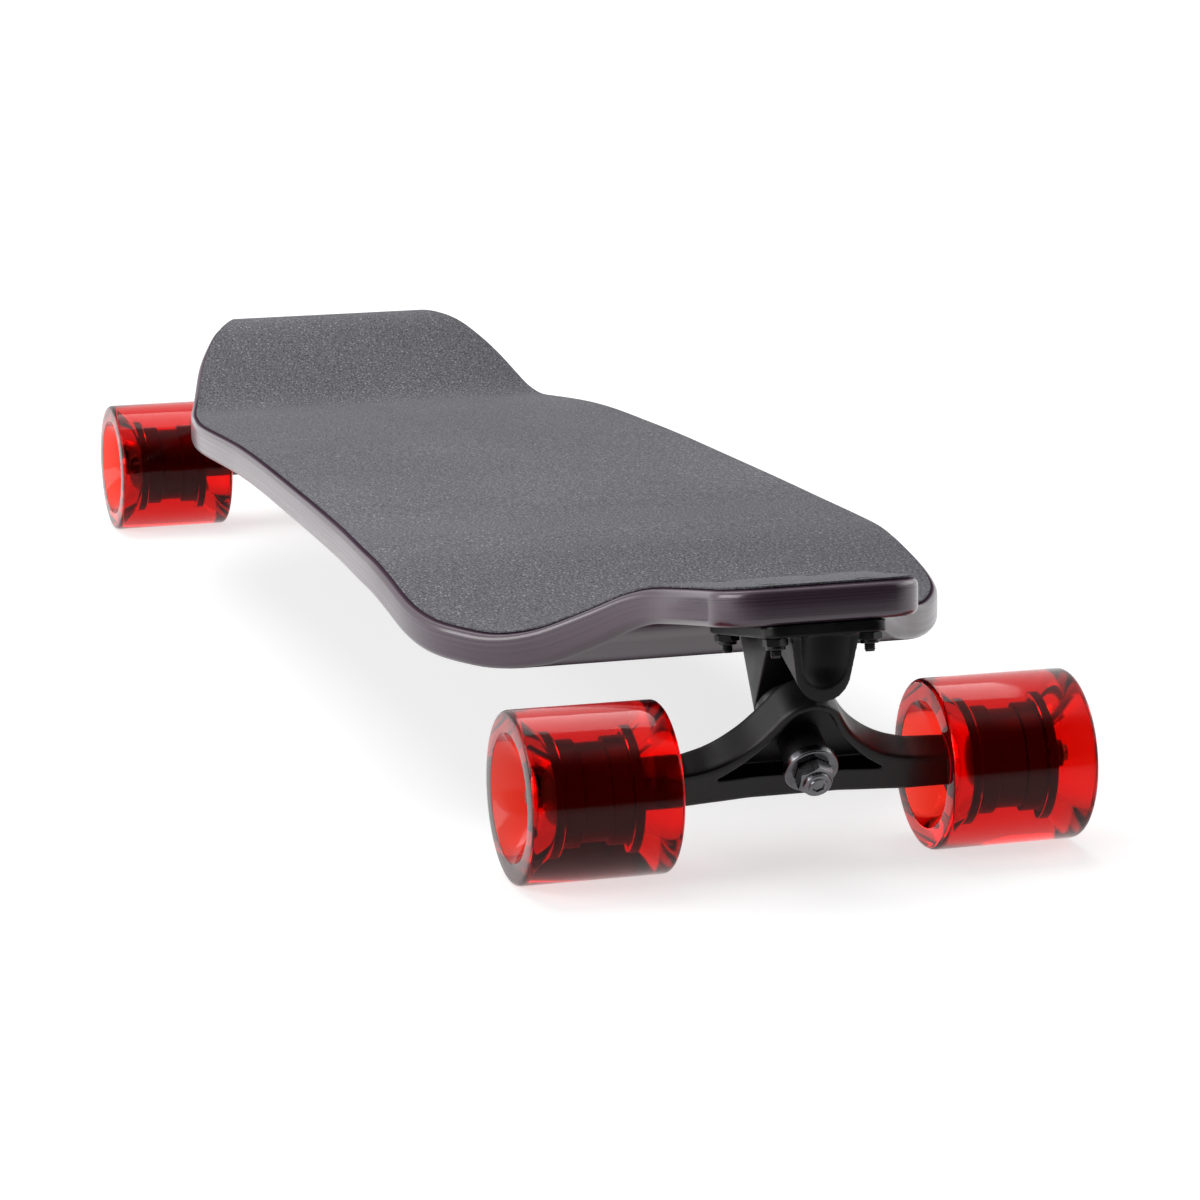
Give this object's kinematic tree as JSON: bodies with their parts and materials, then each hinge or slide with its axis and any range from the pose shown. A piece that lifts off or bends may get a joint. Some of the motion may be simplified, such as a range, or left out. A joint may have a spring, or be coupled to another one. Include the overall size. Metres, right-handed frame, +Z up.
{
  "type": "longboard skateboard",
  "caption": "Drop-deck longboard with a low cambered standing platform, raised necks at both ends, sprung steering trucks and freely spinning clear wheels.",
  "frame": {"origin": "on the ground under the middle of the wheelbase", "axes": "+X along the board towards the nose, +Y to the rider's left, +Z up"},
  "size_m": [0.958, 0.2542, 0.1288],
  "materials": {
    "rail": "lilac-grey satin lacquer over laminated plies",
    "grip": "grit-coated grip sheet",
    "truck": "matt black coated casting",
    "metal": "dark satin steel",
    "bushing": "black urethane",
    "cup": "black urethane",
    "tyre": "clear red cast urethane",
    "core": "black moulded nylon"
  },
  "bodies": {
    "deck": {"deck": "rail", "grip_tape": "grip", "front_baseplate": "truck", "front_pivot_cup": "cup", "front_kingpin": "metal", "front_kingpin_nut": "metal", "front_boardside_washer": "metal", "front_boardside_bushing": "bushing", "front_roadside_bushing": "bushing", "front_roadside_washer": "metal", "front_bolt_nose_left": "metal", "front_bolt_nose_right": "metal", "front_bolt_tail_left": "metal", "front_bolt_tail_right": "metal", "front_bolt_nut_nose_left": "metal", "front_bolt_nut_nose_right": "metal", "front_bolt_nut_tail_left": "metal", "front_bolt_nut_tail_right": "metal", "rear_baseplate": "truck", "rear_pivot_cup": "cup", "rear_kingpin": "metal", "rear_kingpin_nut": "metal", "rear_boardside_washer": "metal", "rear_boardside_bushing": "bushing", "rear_roadside_bushing": "bushing", "rear_roadside_washer": "metal", "rear_bolt_nose_left": "metal", "rear_bolt_nose_right": "metal", "rear_bolt_tail_left": "metal", "rear_bolt_tail_right": "metal", "rear_bolt_nut_nose_left": "metal", "rear_bolt_nut_nose_right": "metal", "rear_bolt_nut_tail_left": "metal", "rear_bolt_nut_tail_right": "metal"},
    "front_truck": {"front_hanger": "truck", "front_axle": "metal", "front_left_axle_nut": "metal", "front_right_axle_nut": "metal"},
    "rear_truck": {"rear_hanger": "truck", "rear_axle": "metal", "rear_left_axle_nut": "metal", "rear_right_axle_nut": "metal"},
    "front_left_wheel": {"front_left_tyre": "tyre", "front_left_core": "core", "front_left_outer_bearing": "metal", "front_left_inner_bearing": "metal"},
    "front_right_wheel": {"front_right_tyre": "tyre", "front_right_core": "core", "front_right_outer_bearing": "metal", "front_right_inner_bearing": "metal"},
    "rear_left_wheel": {"rear_left_tyre": "tyre", "rear_left_core": "core", "rear_left_outer_bearing": "metal", "rear_left_inner_bearing": "metal"},
    "rear_right_wheel": {"rear_right_tyre": "tyre", "rear_right_core": "core", "rear_right_outer_bearing": "metal", "rear_right_inner_bearing": "metal"}
  },
  "joints": [
    {"name": "front_steer", "type": "hinge", "parent": "deck", "child": "front_truck", "pos_m": [0.4105, 0, 0.0365], "axis": [0.8193, 0, 0.5734], "range_deg": [-15, 15], "stiffness_Nm_per_rad": 40, "deforming": ["front_boardside_bushing", "front_roadside_bushing"]},
    {"name": "rear_steer", "type": "hinge", "parent": "deck", "child": "rear_truck", "pos_m": [-0.4105, 0, 0.0365], "axis": [-0.8193, 0, 0.5734], "range_deg": [-15, 15], "stiffness_Nm_per_rad": 40, "deforming": ["rear_boardside_bushing", "rear_roadside_bushing"]},
    {"name": "front_left_spin", "type": "hinge", "parent": "front_truck", "child": "front_left_wheel", "pos_m": [0.433, 0.0925, 0.037], "axis": [0, 1, 0], "continuous": true},
    {"name": "front_right_spin", "type": "hinge", "parent": "front_truck", "child": "front_right_wheel", "pos_m": [0.433, -0.0925, 0.037], "axis": [0, 1, 0], "continuous": true},
    {"name": "rear_left_spin", "type": "hinge", "parent": "rear_truck", "child": "rear_left_wheel", "pos_m": [-0.433, 0.0925, 0.037], "axis": [0, 1, 0], "continuous": true},
    {"name": "rear_right_spin", "type": "hinge", "parent": "rear_truck", "child": "rear_right_wheel", "pos_m": [-0.433, -0.0925, 0.037], "axis": [0, 1, 0], "continuous": true}
  ]
}
